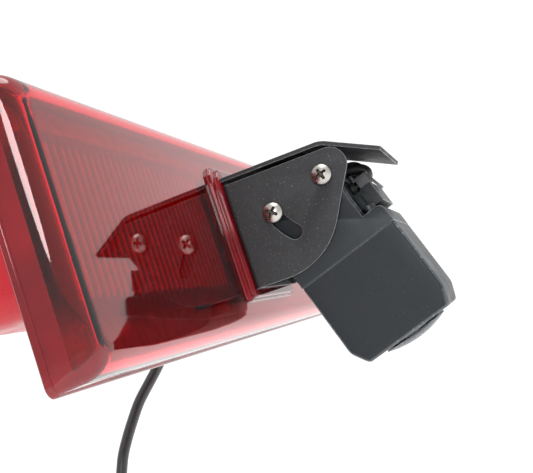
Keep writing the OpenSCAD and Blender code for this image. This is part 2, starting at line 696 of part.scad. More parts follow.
// ================= free cable =================
module camera_cable() color([0.07, 0.07, 0.08]) swept_tube(cable_route, cable_d);

module cable_coil() color([0.07, 0.07, 0.08])
    translate([coil_c[0] - coil_pitch / 2, coil_c[1], coil_c[2]]) rotate([0, 90, 0])
        rotate_extrude($fn = 64)
            translate([coil_r - coil_section[1] / 2, 0]) square([coil_section[1], coil_section[0]]);

// Straight end of the cable, from the last turn down to the plug
module cable_tail() color([0.07, 0.07, 0.08]) translate([plug_x, plug_y, plug_top_z])
    cylinder(h = coil_c[2] - plug_top_z, d = cable_d);

// Strap that holds the coil's turns together
module coil_tie() {
    wide = coil_section[0];
    thick = coil_section[1];
    start = [coil_c[0] - coil_pitch / 2, coil_c[1], coil_c[2]];
    color([0.05, 0.05, 0.05]) translate(start) rotate([45, 0, 0]) difference() {
        translate([-1, -2.5, coil_r - thick / 2 - 1]) cube([wide + 2, 5, thick + 2.6]);
        rotate([0, 90, 0]) rotate_extrude($fn = 64)
            translate([coil_r - thick / 2, 0]) square([thick, wide]);
    }
}

module plug_body() color([0.06, 0.06, 0.06]) translate([plug_x, plug_y, plug_top_z]) difference() {
    rotate([180, 0, 0]) union() {
        cylinder(h = 9, d1 = 5.4, d2 = 8);
        translate([0, 0, 9]) cylinder(h = 3, d1 = 8, d2 = plug_d);
        translate([0, 0, 12]) cylinder(h = plug_body_len - 12, d = plug_d);
    }
    translate([0, 0, -2]) cylinder(h = 3, d = cable_d);
}
module plug_ring() color([0.7, 0.7, 0.7]) translate([plug_x, plug_y, plug_top_z - plug_body_len])
    rotate([180, 0, 0]) difference() {
        cylinder(h = 13, d = plug_ring_d);
        translate([0, 0, -over]) cylinder(h = 20, d = plug_bore_d);
        for (i = [0:23]) rotate(i * 15) translate([plug_ring_d / 2, 0, -over]) cylinder(h = 11, d = 0.8);
    }
module plug_insert() color([0.1, 0.1, 0.1])
    translate([plug_x, plug_y, plug_top_z - plug_body_len]) rotate([180, 0, 0])
    difference() {
        cylinder(h = 11.5, d = 10.4);
        for (i = [0:3]) rotate(45 + 90 * i) translate([2.8, 0, 6]) cylinder(h = 10, d = 1.2);
    }

lens_shell();
lamp_housing();
optic_panel_left();
optic_panel_right();
led_board_left();
led_board_right();
leds_left();
leds_right();
led_board_screws();
rim_gasket();
mounting_studs();
lamp_socket();
socket_blades();
backing_plate();
bracket();
bracket_screws();
bracket_grommet();
inner_lead();
cable_gland();
front_shell();
rear_shell();
shell_seal();
shell_screws();
thread_inserts();
pivot_screws();
lock_screws();
front_window();
dome_cover();
lens_barrel();
lens_glass();
lens_holder();
image_sensor();
sensor_board();
ir_board();
ir_leds();
light_sensor();
lead_clamp();
head_grommet();
lead_tie();
head_lead();
camera_cable();
cable_coil();
cable_tail();
coil_tie();
plug_body();
plug_ring();
plug_insert();
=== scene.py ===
import json
import math

import bmesh
import bpy
import numpy as np
from mathutils import Matrix, Vector

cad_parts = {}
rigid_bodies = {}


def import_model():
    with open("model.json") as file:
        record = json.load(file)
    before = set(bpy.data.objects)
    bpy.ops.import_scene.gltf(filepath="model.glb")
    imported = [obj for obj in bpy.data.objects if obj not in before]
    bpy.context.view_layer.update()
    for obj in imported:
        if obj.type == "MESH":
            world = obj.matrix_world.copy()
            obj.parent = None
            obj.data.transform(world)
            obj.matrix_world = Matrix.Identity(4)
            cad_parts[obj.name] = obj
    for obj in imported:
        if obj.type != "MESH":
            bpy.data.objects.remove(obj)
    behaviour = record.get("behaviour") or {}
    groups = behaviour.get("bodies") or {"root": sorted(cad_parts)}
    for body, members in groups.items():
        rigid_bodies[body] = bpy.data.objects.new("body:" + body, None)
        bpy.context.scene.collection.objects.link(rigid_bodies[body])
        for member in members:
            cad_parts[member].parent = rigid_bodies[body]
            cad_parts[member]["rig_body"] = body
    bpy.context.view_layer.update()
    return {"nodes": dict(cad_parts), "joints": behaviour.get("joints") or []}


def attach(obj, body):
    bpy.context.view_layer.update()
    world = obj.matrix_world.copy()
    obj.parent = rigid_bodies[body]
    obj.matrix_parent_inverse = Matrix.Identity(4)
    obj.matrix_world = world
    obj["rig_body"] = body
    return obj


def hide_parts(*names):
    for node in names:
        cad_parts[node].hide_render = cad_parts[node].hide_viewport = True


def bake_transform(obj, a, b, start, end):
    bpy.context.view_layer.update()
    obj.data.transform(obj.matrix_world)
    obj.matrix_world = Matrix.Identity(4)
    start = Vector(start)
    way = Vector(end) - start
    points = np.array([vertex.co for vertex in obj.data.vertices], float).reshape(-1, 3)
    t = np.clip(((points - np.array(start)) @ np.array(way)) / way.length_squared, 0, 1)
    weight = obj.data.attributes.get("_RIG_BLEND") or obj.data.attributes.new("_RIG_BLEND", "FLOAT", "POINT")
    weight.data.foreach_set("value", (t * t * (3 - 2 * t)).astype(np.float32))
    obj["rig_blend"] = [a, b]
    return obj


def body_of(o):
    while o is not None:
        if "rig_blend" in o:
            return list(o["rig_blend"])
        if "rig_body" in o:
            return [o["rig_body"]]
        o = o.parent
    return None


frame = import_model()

MM = 0.001


# ---------------------------------------------------------------- camera
def place_camera():
    """The camera looks along the lamp from its near end, a little from below and rolled."""
    right = Vector((0.24361, -0.91564, -0.31979))
    up = Vector((-0.02098, -0.33462, 0.94212))
    back = right.cross(up).normalized()
    camera = bpy.data.cameras.new("camera")
    camera.lens = 64.37
    camera.sensor_width = 36.0
    camera.clip_start = 0.01
    camera.dof.use_dof = False
    eye = bpy.data.objects.new("camera", camera)
    turn = Matrix((right, up, back)).transposed().to_4x4()
    eye.matrix_world = Matrix.Translation(Vector((-292.63, -84.13, -32.88)) * MM) @ turn
    bpy.context.scene.collection.objects.link(eye)
    bpy.context.scene.camera = eye


place_camera()


# ---------------------------------------------------------------- mesh helpers
def mesh_piece(name, points, faces, body, material):
    """A smooth mesh in metres from points in mm, which rides on a body where one is given."""
    mesh = bpy.data.meshes.new(name)
    mesh.from_pydata((np.asarray(points, float) * MM).tolist(), [], faces)
    mesh.validate()
    mesh.polygons.foreach_set("use_smooth", np.ones(len(mesh.polygons), bool))
    mesh.update()
    piece = bpy.data.objects.new(name, mesh)
    bpy.context.scene.collection.objects.link(piece)
    piece.data.materials.append(material)
    if body:
        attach(piece, body)
    return piece


def grid_faces(rows, cols, close_rows=False):
    """Quads between neighbouring rings of points; close_rows joins the last ring to the first."""
    a, b = np.meshgrid(np.arange(rows if close_rows else rows - 1), np.arange(cols), indexing="ij")
    a2, b2 = (a + 1) % rows, (b + 1) % cols
    quads = np.stack([a * cols + b, a * cols + b2, a2 * cols + b2, a2 * cols + b], -1)
    return quads.reshape(-1, 4).tolist()


def outward(piece):
    """Turns every face of a closed piece so that it points out."""
    form = bmesh.new()
    form.from_mesh(piece.data)
    bmesh.ops.recalc_face_normals(form, faces=form.faces)
    form.to_mesh(piece.data)
    form.free()
    return piece


def loft(name, rings, body, material):
    """A closed solid through rings of equal length, its first and last each closed by one face."""
    rings = np.asarray(rings, float)
    rows, cols = rings.shape[:2]
    faces = grid_faces(rows, cols)
    faces.append(list(range(cols)))
    faces.append(list(range((rows - 1) * cols, rows * cols)))
    return outward(mesh_piece(name, rings.reshape(-1, 3), faces, body, material))


def apply_modifiers(piece):
    """Bakes the piece's modifiers into its mesh."""
    graph = bpy.context.evaluated_depsgraph_get()
    made = bpy.data.meshes.new_from_object(piece.evaluated_get(graph))
    piece.modifiers.clear()
    piece.data = made


def add_finish(piece, material, chosen):
    """Gives another material to the faces that chosen picks by their centres (mm) and normals."""
    count = len(piece.data.polygons)
    centres, normals = np.empty(count * 3), np.empty(count * 3)
    piece.data.polygons.foreach_get("center", centres)
    piece.data.polygons.foreach_get("normal", normals)
    piece.data.materials.append(material)
    index = np.zeros(count, np.int32)
    piece.data.polygons.foreach_get("material_index", index)
    index[chosen(centres.reshape(-1, 3) / MM, normals.reshape(-1, 3))] = len(piece.data.materials) - 1
    piece.data.polygons.foreach_set("material_index", index)


def add_bevel(piece, width, segments, angle, material, clamp):
    """Rounds the edges sharper than angle to about width mm; material is the slot they take, or -1."""
    bevel = piece.modifiers.new("rounded_edges", "BEVEL")
    bevel.width = width * MM
    bevel.segments = segments
    bevel.limit_method = "ANGLE"
    bevel.angle_limit = math.radians(angle)
    bevel.harden_normals = True
    bevel.material = material
    bevel.use_clamp_overlap = clamp
    apply_modifiers(piece)


def sharp_by_angle(piece, degrees):
    """Keeps edges crisp where faces meet at more than this angle, so that flat faces shade flat."""
    form = bmesh.new()
    form.from_mesh(piece.data)
    for edge in form.edges:
        if len(edge.link_faces) == 2 and edge.calc_face_angle() > math.radians(degrees):
            edge.smooth = False
    form.to_mesh(piece.data)
    form.free()


def softened(node, width, material, segments=3, angle=30, edge=None, clamp=True):
    """Stands for a CAD node: its copy, with flat faces joined up and sharp edges rounded."""
    same_point = 0.002 * MM
    flat_angle = math.radians(0.4)
    source = frame["nodes"][node]
    mesh = source.data.copy()
    form = bmesh.new()
    form.from_mesh(mesh)
    bmesh.ops.remove_doubles(form, verts=form.verts, dist=same_point)
    bmesh.ops.dissolve_limit(form, angle_limit=flat_angle, verts=form.verts, edges=form.edges)
    bmesh.ops.recalc_face_normals(form, faces=form.faces)
    form.to_mesh(mesh)
    form.free()
    mesh.polygons.foreach_set("use_smooth", np.ones(len(mesh.polygons), bool))
    mesh.materials.clear()
    mesh.materials.append(material)
    # edge, where given, is a lighter material for the rounded edges, which paints a highlight along them.
    if edge:
        mesh.materials.append(edge)
    piece = bpy.data.objects.new(node + "_finished", mesh)
    bpy.context.scene.collection.objects.link(piece)
    add_bevel(piece, width, segments, angle, 1 if edge else -1, clamp)
    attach(piece, body_of(source)[0])
    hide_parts(node)
    return piece


def rounded_ring(hx, hz, r, mid=0.0, corner=8, long_steps=24, short_steps=8):
    """Points round a rectangle of half sizes hx and hz with corner radius r, and each one's normal."""
    quarter = np.linspace(0, math.pi / 2, corner + 1)
    middles = [(hx - r, hz - r), (-hx + r, hz - r), (-hx + r, -hz + r), (hx - r, -hz + r)]
    steps = [long_steps, short_steps, long_steps, short_steps]
    points, normals = [], []
    for i, middle in enumerate(middles):
        a = quarter + i * math.pi / 2
        u = np.stack([np.cos(a), np.sin(a)], 1)
        arc = np.array(middle) + r * u
        after = np.array(middles[(i + 1) % 4]) + r * u[-1]
        share = np.linspace(0, 1, steps[i] + 1)[1:-1, None]
        points += [arc, arc[-1] * (1 - share) + after * share]
        normals += [u, np.repeat(u[-1:], len(share), 0)]
    points = np.concatenate(points)
    points[:, 1] += mid
    return points, np.concatenate(normals)


def flat_ring(hx, hz, r, y, mid=0.0):
    """A rounded rectangle in the XZ plane at one or more depths y, as 3D points."""
    points, _ = rounded_ring(hx, hz, r, mid)
    return np.stack([points[:, 0], np.broadcast_to(y, len(points)), points[:, 1]], 1)


def smooth_path(points, steps=6):
    """Points on a Catmull-Rom curve through given points."""
    p = np.asarray(points, float)
    p = np.concatenate([[2 * p[0] - p[1]], p, [2 * p[-1] - p[-2]]])
    t = np.linspace(0, 1, steps, endpoint=False)[:, None]
    a, b, c, d = (p[i:len(p) - 3 + i, None] for i in range(4))
    curve = 0.5 * (2 * b + (c - a) * t + (2 * a - 5 * b + 4 * c - d) * t**2
                   + (3 * b - a - 3 * c + d) * t**3)
    return np.concatenate([curve.reshape(-1, 3), p[-2:-1]])


def carried_frames(path):
    """Two sideways directions along a path, from +X on, each the last turned as little as can be."""
    tangents = np.gradient(path, axis=0)
    tangents /= np.linalg.norm(tangents, axis=1)[:, None]
    side = np.array([1.0, 0.0, 0.0])
    sides = []
    for t in tangents:
        side = side - t * (side @ t)
        side /= np.linalg.norm(side)
        sides.append(side)
    sides = np.array(sides)
    return sides, np.cross(tangents, sides)


def tube(name, path, radius, body, material, sides):
    """A round tube along a path: centre + radius * (cos a * one side + sin a * the other side)."""
    u, v = carried_frames(path)
    a = np.linspace(0, 2 * math.pi, sides, endpoint=False)[None, :, None]
    rings = path[:, None] + radius * (np.cos(a) * u[:, None] + np.sin(a) * v[:, None])
    return loft(name, rings, body, material)


# ---------------------------------------------------------------- materials
FLUTE_PITCH = 3.4


class Finish:
    """A Principled material whose patterns read Object coordinates."""

    def __init__(self, name, color, roughness, **sockets):
        self.material = bpy.data.materials.new(name)
        self.material.use_nodes = True
        self.nodes = self.material.node_tree.nodes
        self.links = self.material.node_tree.links
        self.shader = self.nodes["Principled BSDF"]
        self.shader.inputs["Base Color"].default_value = (*color, 1)
        self.shader.inputs["Roughness"].default_value = roughness
        for key, value in sockets.items():
            self.shader.inputs[key.replace("_", " ")].default_value = value
        self.place = self.nodes.new("ShaderNodeTexCoord").outputs["Object"]

    def noise(self, grain, detail=2.0, stretch=(1, 1, 1)):
        """Noise whose grains are about grain mm across, longer where stretch is below 1."""
        mapping = self.nodes.new("ShaderNodeMapping")
        mapping.inputs["Scale"].default_value = stretch
        texture = self.nodes.new("ShaderNodeTexNoise")
        texture.inputs["Scale"].default_value = 1 / (grain * MM)
        texture.inputs["Detail"].default_value = detail
        self.links.new(self.place, mapping.inputs["Vector"])
        self.links.new(mapping.outputs[0], texture.inputs["Vector"])
        return texture.outputs["Fac"]

    def ramp(self, source, stops):
        """Colours by value: stops are (value, colour)."""
        ramp = self.nodes.new("ShaderNodeValToRGB")
        while len(ramp.color_ramp.elements) < len(stops):
            ramp.color_ramp.elements.new(0.5)
        for element, (at, color) in zip(ramp.color_ramp.elements, stops):
            element.position = at
            element.color = (*color, 1)
        self.links.new(source, ramp.inputs[0])
        return ramp.outputs[0]

    def between(self, source, low, high, start=0.3, end=0.7):
        """Carries source's values from start to end onto low to high."""
        node = self.nodes.new("ShaderNodeMapRange")
        for key, value in zip(("From Min", "From Max", "To Min", "To Max"), (start, end, low, high)):
            node.inputs[key].default_value = value
        self.links.new(source, node.inputs["Value"])
        return node.outputs[0]

    def color(self, source):
        self.links.new(source, self.shader.inputs["Base Color"])
        return self

    def rough(self, source):
        self.links.new(source, self.shader.inputs["Roughness"])
        return self

    def bump(self, source, depth):
        """Relief of the given depth in mm."""
        node = self.nodes.new("ShaderNodeBump")
        node.inputs["Distance"].default_value = depth * MM
        node.inputs["Strength"].default_value = 1.0
        self.links.new(source, node.inputs["Height"])
        self.links.new(node.outputs[0], self.shader.inputs["Normal"])
        return self


def speckled(name, dark, light, roughness, grain, relief, fleck_share, **sockets):
    """Dark paint or plastic with a fine raised grain and a few pale flecks."""
    finish = Finish(name, dark, sum(roughness) / 2, **sockets)
    grain_noise = finish.noise(grain)
    fleck = finish.noise(grain * 2.2, 0.0)
    finish.color(finish.ramp(fleck, [(0.0, dark), (1 - fleck_share, dark), (1.0, light)]))
    finish.rough(finish.between(finish.noise(6.0, 4.0), *roughness))
    finish.bump(grain_noise, relief)
    return finish.material


def clear_red():
    """The lens cover's clear acrylic, faintly uneven."""
    finish = Finish("clear_red_acrylic", (0.80, 0.014, 0.032), 0.02, Transmission_Weight=1.0, IOR=1.49)
    finish.rough(finish.between(finish.noise(9.0, 5.0), 0.015, 0.05))
    finish.bump(finish.noise(40.0, 1.0), 0.02)
    return finish.material


def thick_red():
    """The same acrylic where it is thick, at its rim and collar, and lets less light through."""
    finish = Finish("thick_red_acrylic", (0.16, 0.003, 0.007), 0.05, Transmission_Weight=0.3, IOR=1.49)
    finish.color(finish.ramp(finish.noise(12.0, 2.0),
                             [(0.3, (0.13, 0.003, 0.006)), (0.7, (0.24, 0.005, 0.010))]))
    finish.rough(finish.between(finish.noise(9.0, 5.0), 0.03, 0.09))
    return finish.material


def fluted_red():
    """The screens' red, in bands a flute wide, dark in each flute's hollow and pale on its crest: painted
    shade and painted highlight. At scale 1 a wave's bands repeat every pi / 10.
    """
    finish = Finish("fluted_red_optic_painted_shading", (0.3, 0.01, 0.014), 0.22, Coat_Weight=0.4)
    wave = finish.nodes.new("ShaderNodeTexWave")
    wave.bands_direction = "X"
    wave.inputs["Scale"].default_value = math.pi / 10 / (FLUTE_PITCH * MM)
    finish.links.new(finish.place, wave.inputs["Vector"])
    # Dark bands in the flutes' hollows and pale bands on their crests: painted shade and painted highlight.
    finish.color(finish.ramp(wave.outputs["Fac"], [(0.0, (0.09, 0.004, 0.007)),
                                                   (0.6, (0.19, 0.008, 0.012)),
                                                   (1.0, (0.50, 0.02, 0.03))]))
    finish.rough(finish.between(finish.noise(5.0, 3.0), 0.18, 0.34))
    return finish.material


def moulded_red():
    """The housing's solid red, with a slight moulded grain."""
    finish = Finish("deep_red_moulding", (0.45, 0.01, 0.018), 0.3, Specular_IOR_Level=0.3)
    finish.color(finish.ramp(finish.noise(30.0, 3.0),
                             [(0.3, (0.36, 0.010, 0.017)), (0.7, (0.42, 0.012, 0.020))]))
    finish.rough(finish.between(finish.noise(4.0, 4.0), 0.22, 0.38))
    finish.bump(finish.noise(0.6), 0.01)
    return finish.material


def brushed(name, color, roughness, stretch=(1, 1, 1)):
    """Metal with a fine grain, drawn out into lines where stretch is below 1."""
    finish = Finish(name, color, roughness, Metallic=1.0)
    lines = finish.noise(0.35, 3.0, stretch)
    finish.rough(finish.between(lines, roughness * 0.7, roughness * 1.5))
    low = tuple(0.82 * c for c in color)
    finish.color(finish.ramp(finish.noise(2.5, 4.0), [(0.3, low), (0.7, color)]))
    finish.bump(lines, 0.004)
    return finish.material


def plain(name, color, roughness, grain, relief, **sockets):
    """Plastic or rubber with a slight unevenness of tone, gloss and surface."""
    finish = Finish(name, color, sum(roughness) / 2, **sockets)
    low = tuple(0.75 * c for c in color)
    finish.color(finish.ramp(finish.noise(8.0, 4.0), [(0.3, low), (0.7, color)]))
    finish.rough(finish.between(finish.noise(3.0, 4.0), *roughness))
    finish.bump(finish.noise(grain), relief)
    return finish.material


def clear(name, color, roughness, ior=1.49):
    """Clear plastic or glass."""
    finish = Finish(name, color, roughness, Transmission_Weight=1.0, IOR=ior)
    finish.rough(finish.between(finish.noise(5.0, 4.0), roughness * 0.5, roughness * 2))
    return finish.material


def board_green():
    """Green board with paler tracks in a brick pattern, turned to lie in the XZ plane."""
    finish = Finish("green_circuit_board", (0.02, 0.14, 0.05), 0.3, Coat_Weight=0.3)
    tracks = finish.nodes.new("ShaderNodeTexBrick")
    tracks.inputs["Scale"].default_value = 140
    tracks.inputs["Mortar Size"].default_value = 0.06
    tracks.inputs["Color1"].default_value = (0.012, 0.11, 0.035, 1)
    tracks.inputs["Color2"].default_value = (0.02, 0.15, 0.05, 1)
    tracks.inputs["Mortar"].default_value = (0.05, 0.26, 0.1, 1)
    turned = finish.nodes.new("ShaderNodeMapping")
    turned.inputs["Rotation"].default_value = (math.pi / 2, 0, 0)
    finish.links.new(finish.place, turned.inputs["Vector"])
    finish.links.new(turned.outputs[0], tracks.inputs["Vector"])
    finish.color(tracks.outputs["Color"])
    return finish.material


RED_CLEAR = clear_red()
RED_EDGE = thick_red()
RED_OPTIC_PAINTED_SHADING = fluted_red()
RED_SOLID = moulded_red()
RED_BORDER = plain("red_optic_border", (0.12, 0.008, 0.011), (0.3, 0.45), 0.8, 0.01)
POWDER_COAT = speckled("black_powder_coat", (0.017, 0.018, 0.020), (0.10, 0.10, 0.10), (0.5, 0.66),
                       0.28, 0.035, 0.33, Specular_IOR_Level=0.36)
# Lighter, glossier coat for the bracket's rounded edges: a painted highlight along them.
EDGE_HIGHLIGHT_COAT = speckled("powder_coat_painted_highlight", (0.15, 0.15, 0.155), (0.34, 0.34, 0.34), (0.25, 0.4),
                     0.5, 0.01, 0.4)
HEAD_PLASTIC = speckled("head_plastic", (0.006, 0.0095, 0.0125), (0.05, 0.06, 0.07), (0.38, 0.52),
                        0.22, 0.012, 0.27, Specular_IOR_Level=0.32)
# Lighter grey for the front shell's seam edge: a painted highlight along the seam.
SEAM_HIGHLIGHT = speckled("head_seam_painted_highlight", (0.10, 0.11, 0.12), (0.2, 0.22, 0.24), (0.25, 0.4),
                    0.6, 0.004, 0.4)
DARK_SCREW = brushed("blackened_screw", (0.05, 0.05, 0.052), 0.4)
# Lighter, glossier plastic for the head's rounded edges: a painted highlight along them.
EDGE_HIGHLIGHT_PLASTIC = speckled("head_plastic_painted_highlight", (0.035, 0.042, 0.048), (0.2, 0.22, 0.24), (0.2, 0.34),
                        0.5, 0.006, 0.4)
STEEL = brushed("bright_steel", (0.44, 0.415, 0.39), 0.27)
# Dark steel for the screws' cross recesses: painted shade in them.
RECESS_SHADE = brushed("shaded_recess", (0.10, 0.09, 0.08), 0.5)
ZINC = brushed("zinc_plate", (0.62, 0.62, 0.6), 0.35, stretch=(0.2, 1, 1))
NICKEL = brushed("nickel_ring", (0.46, 0.46, 0.45), 0.3)
BRASS = brushed("brass", (0.80, 0.60, 0.28), 0.25)
ANODISED = brushed("black_anodised", (0.035, 0.035, 0.038), 0.35)
NYLON = plain("black_nylon", (0.022, 0.022, 0.024), (0.35, 0.5), 0.3, 0.01)
RUBBER = plain("black_rubber", (0.018, 0.018, 0.019), (0.5, 0.7), 0.2, 0.012)
FOAM = plain("foam_gasket", (0.095, 0.07, 0.07), (0.85, 0.95), 0.5, 0.15)
JACKET = plain("cable_jacket", (0.016, 0.017, 0.019), (0.28, 0.42), 0.5, 0.012, Coat_Weight=0.2)
TIE = plain("tie_nylon", (0.10, 0.10, 0.105), (0.25, 0.4), 0.6, 0.01)
CHIP = plain("chip_package", (0.03, 0.03, 0.035), (0.2, 0.3), 0.5, 0.004)
BOARD = board_green()
RED_RESIN = clear("red_led_resin", (0.9, 0.15, 0.12), 0.08)
CLEAR_RESIN = clear("clear_led_resin", (0.86, 0.86, 0.9), 0.08)
DARK_PLATE = plain("dark_window_plate", (0.012, 0.008, 0.010), (0.14, 0.2), 0.5, 0.002,
                   Specular_IOR_Level=0.25)
DOME = clear("smoked_dome", (0.10, 0.105, 0.115), 0.015, 1.07)
COATED_GLASS = clear("coated_glass", (0.35, 0.42, 0.75), 0.01, 1.6)


# ---------------------------------------------------------------- frame values
PIVOT = np.array(frame["joints"][0]["pos_m"]) / MM
REST_TILT = math.radians(72.2)
CABLE_D = 3.5


def from_head(points):
    """Turns points of the head's own frame, which looks along -Y from the pivot, to the lamp's."""
    p = np.asarray(points, float)
    y = p[..., 1] * math.cos(REST_TILT) - p[..., 2] * math.sin(REST_TILT)
    z = p[..., 1] * math.sin(REST_TILT) + p[..., 2] * math.cos(REST_TILT)
    return np.stack([p[..., 0], y, z], -1) + PIVOT


# ---------------------------------------------------------------- camera cable
COIL_CENTRE = np.array([-21.0, 62.0, -113.0])
COIL_R = 20.0
COIL_TURNS = 3.25
COIL_PITCH = 3.7
PLUG_TOP = -127.0


def cable_path():
    """The listed route, then the coil, then straight down to the plug.

    The coil's turns go about X: y = R sin a, z = R cos a, and x rises by a pitch each turn."""
    steps_a_turn = 40
    route = [[5, 24.6, -21.2], [4, 28.6, -25.6], [3, 32.7, -30.3], [0, 36.3, -34.6],
             [-3, 39.8, -38.9], [-6, 42.5, -43.6], [-9, 44.8, -48.3], [-12, 46.7, -53.1],
             [-14, 48.1, -58], [-16, 49.3, -63], [-18, 50.2, -68], [-19.4, 50.9, -73],
             [-20.4, 51.4, -78], [-20.9, 51.8, -83], [-21, 53, -87.6], [-21, 56.2, -91.3],
             [-21, 60, -92.9], [-21, 62, -93]]
    a = np.linspace(0, 2 * math.pi * COIL_TURNS, int(steps_a_turn * COIL_TURNS))[1:]
    rise = COIL_PITCH * a / (2 * math.pi)
    turns = COIL_CENTRE + np.stack([rise, COIL_R * np.sin(a), COIL_R * np.cos(a)], 1)
    end = turns[-1]
    tail = [[end[0], end[1], z] for z in np.linspace(end[2], PLUG_TOP, 6)[1:]]
    return np.concatenate([smooth_path(route, 4)[:-1], turns, tail])


def camera_cable():
    """The cable as one tube, and the line that it follows."""
    path = cable_path()
    cable = tube("camera_cable_run", path, CABLE_D / 2, "lamp", JACKET, sides=18)
    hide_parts("camera_cable", "cable_coil", "cable_tail")
    return cable, path


cable, cable_line = camera_cable()


def coil_strap():
    """A flat strap round the coil's passes: a rounded rectangle across them, with a flat section.

    It sits an eighth of a turn before the coil's top, where three passes lie side by side."""
    lean = math.radians(45)
    gap = 0.5
    out = np.array([0, -math.sin(lean), math.cos(lean)])
    along = np.array([0, math.cos(lean), math.sin(lean)])
    passes = COIL_PITCH * (np.array([1, 2, 3]) - 0.125)
    middle = COIL_CENTRE + np.array([passes.mean(), 0, 0]) + out * COIL_R
    half_x = (passes[-1] - passes[0]) / 2 + CABLE_D / 2
    half_r = CABLE_D / 2
    section, _ = rounded_ring(0.45, 2.5, 0.25, corner=3, long_steps=1, short_steps=2)
    rings = []
    for thick, wide in section:
        points, _ = rounded_ring(half_x + gap + thick, half_r + gap + thick, 1.6 + thick)
        across = points[:, :1] * np.array([1, 0, 0])
        rings.append(middle + across + points[:, 1:] * out + wide * along)
    rings = np.array(rings)
    faces = grid_faces(*rings.shape[:2], close_rows=True)
    strap = outward(mesh_piece("coil_strap", rings.reshape(-1, 3), faces, "lamp", TIE))
    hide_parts("coil_tie")
    return strap


strap = coil_strap()
plug_body = softened("plug_body", 0.5, RUBBER)
plug_ring = softened("plug_ring", 0.25, NICKEL)
plug_insert = softened("plug_insert", 0.2, NYLON)
softened("cable_gland", 0.4, RUBBER)


# ---------------------------------------------------------------- lens cover
FACE_Y = -12.0
LAMP_WALL = 2.2
EDGE_R = 5.5
OUTLINE_R = 3.5
HALF_L = 135.6
HALF_H = 30.2
RIM_BACK = -0.8
RIM_FRONT = -2.4
COLLAR_MID = -0.7


def cover_shell(inset):
    """Rings of the lens cover's form, a distance inset inside its outer face, from the rim to the face.

    The wall turns into the face by a quarter circle of radius r: the ring moves in by r (1 - cos a)
    and out by r sin a, while its corners open by widen (1 - cos a)."""
    r = EDGE_R - inset
    widen = 0.8
    rings = []
    for a in np.linspace(0, math.pi / 2, 13):
        shrink = 1 - math.cos(a)
        y = FACE_Y + inset + r * (1 - math.sin(a))
        rings.append(flat_ring(HALF_L - inset - r * shrink, HALF_H - inset - r * shrink,
                               OUTLINE_R - inset + widen * shrink, y))
    return rings


def collar_ring(hx, hz, r, y):
    """A rounded rectangle with its upper corners cut at 45 degrees: points past a cut go back to it."""
    corner_cut = 3.2
    ring = flat_ring(hx, hz, r, y, COLLAR_MID)
    past = np.clip(np.abs(ring[:, 0]) - hx + ring[:, 2] - COLLAR_MID - hz + corner_cut, 0, None) / 2
    ring[:, 0] -= np.sign(ring[:, 0]) * past
    ring[:, 2] -= past
    return ring


def lens_cover():
    """Rim, wall, face and stepped collar outside, then the wall and face inside, as one loft."""
    rim_x, rim_z, rim_r = HALF_L + 1.4, HALF_H + 0.84, 2.4
    soft, chamfer = 0.5, 0.2
    outside = [flat_ring(rim_x - chamfer, rim_z - chamfer, rim_r - chamfer, RIM_BACK),
               flat_ring(rim_x, rim_z, rim_r, RIM_BACK - chamfer)]
    for a in np.linspace(0, math.pi / 2, 5):
        inset = soft * (1 - math.cos(a))
        front = RIM_FRONT + soft - soft * math.sin(a)
        outside.append(flat_ring(rim_x - inset, rim_z - inset, rim_r - inset, front))
    outside += cover_shell(0)
    collar_steps = [(28.3, 20.7, 2.0, FACE_Y, -13.2), (25.0, 19.8, 1.8, -13.2, -14.2)]
    for hx, hz, r, low, high in collar_steps:
        for grow, y in ((0.3, low), (0, low - 0.3),
                        (0, high + 0.25), (-0.08, high + 0.08), (-0.25, high)):
            outside.append(collar_ring(hx + grow, hz + grow, r + grow, y))
    inner_r = OUTLINE_R - LAMP_WALL
    inside = [flat_ring(HALF_L - LAMP_WALL, HALF_H - LAMP_WALL, inner_r, RIM_BACK),
              *cover_shell(LAMP_WALL), flat_ring(30, 20, inner_r, FACE_Y + LAMP_WALL)]
    cover = loft("lens_cover", np.array(outside[::-1] + inside), "lamp", RED_CLEAR)
    sharp_by_angle(cover, 24)

    def thick(at, normal):
        """Collar, rim, and the four corners of the outline, whose normals lean both ways."""
        near, lean = 0.02, 0.12
        collar = at[:, 1] < FACE_Y - near
        rim = (np.abs(at[:, 0]) > HALF_L + near) | (np.abs(at[:, 2]) > HALF_H + near)
        corner = (np.abs(normal[:, 0]) > lean) & (np.abs(normal[:, 2]) > lean)
        return collar | rim | corner
    add_finish(cover, RED_EDGE, thick)
    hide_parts("lens_shell")


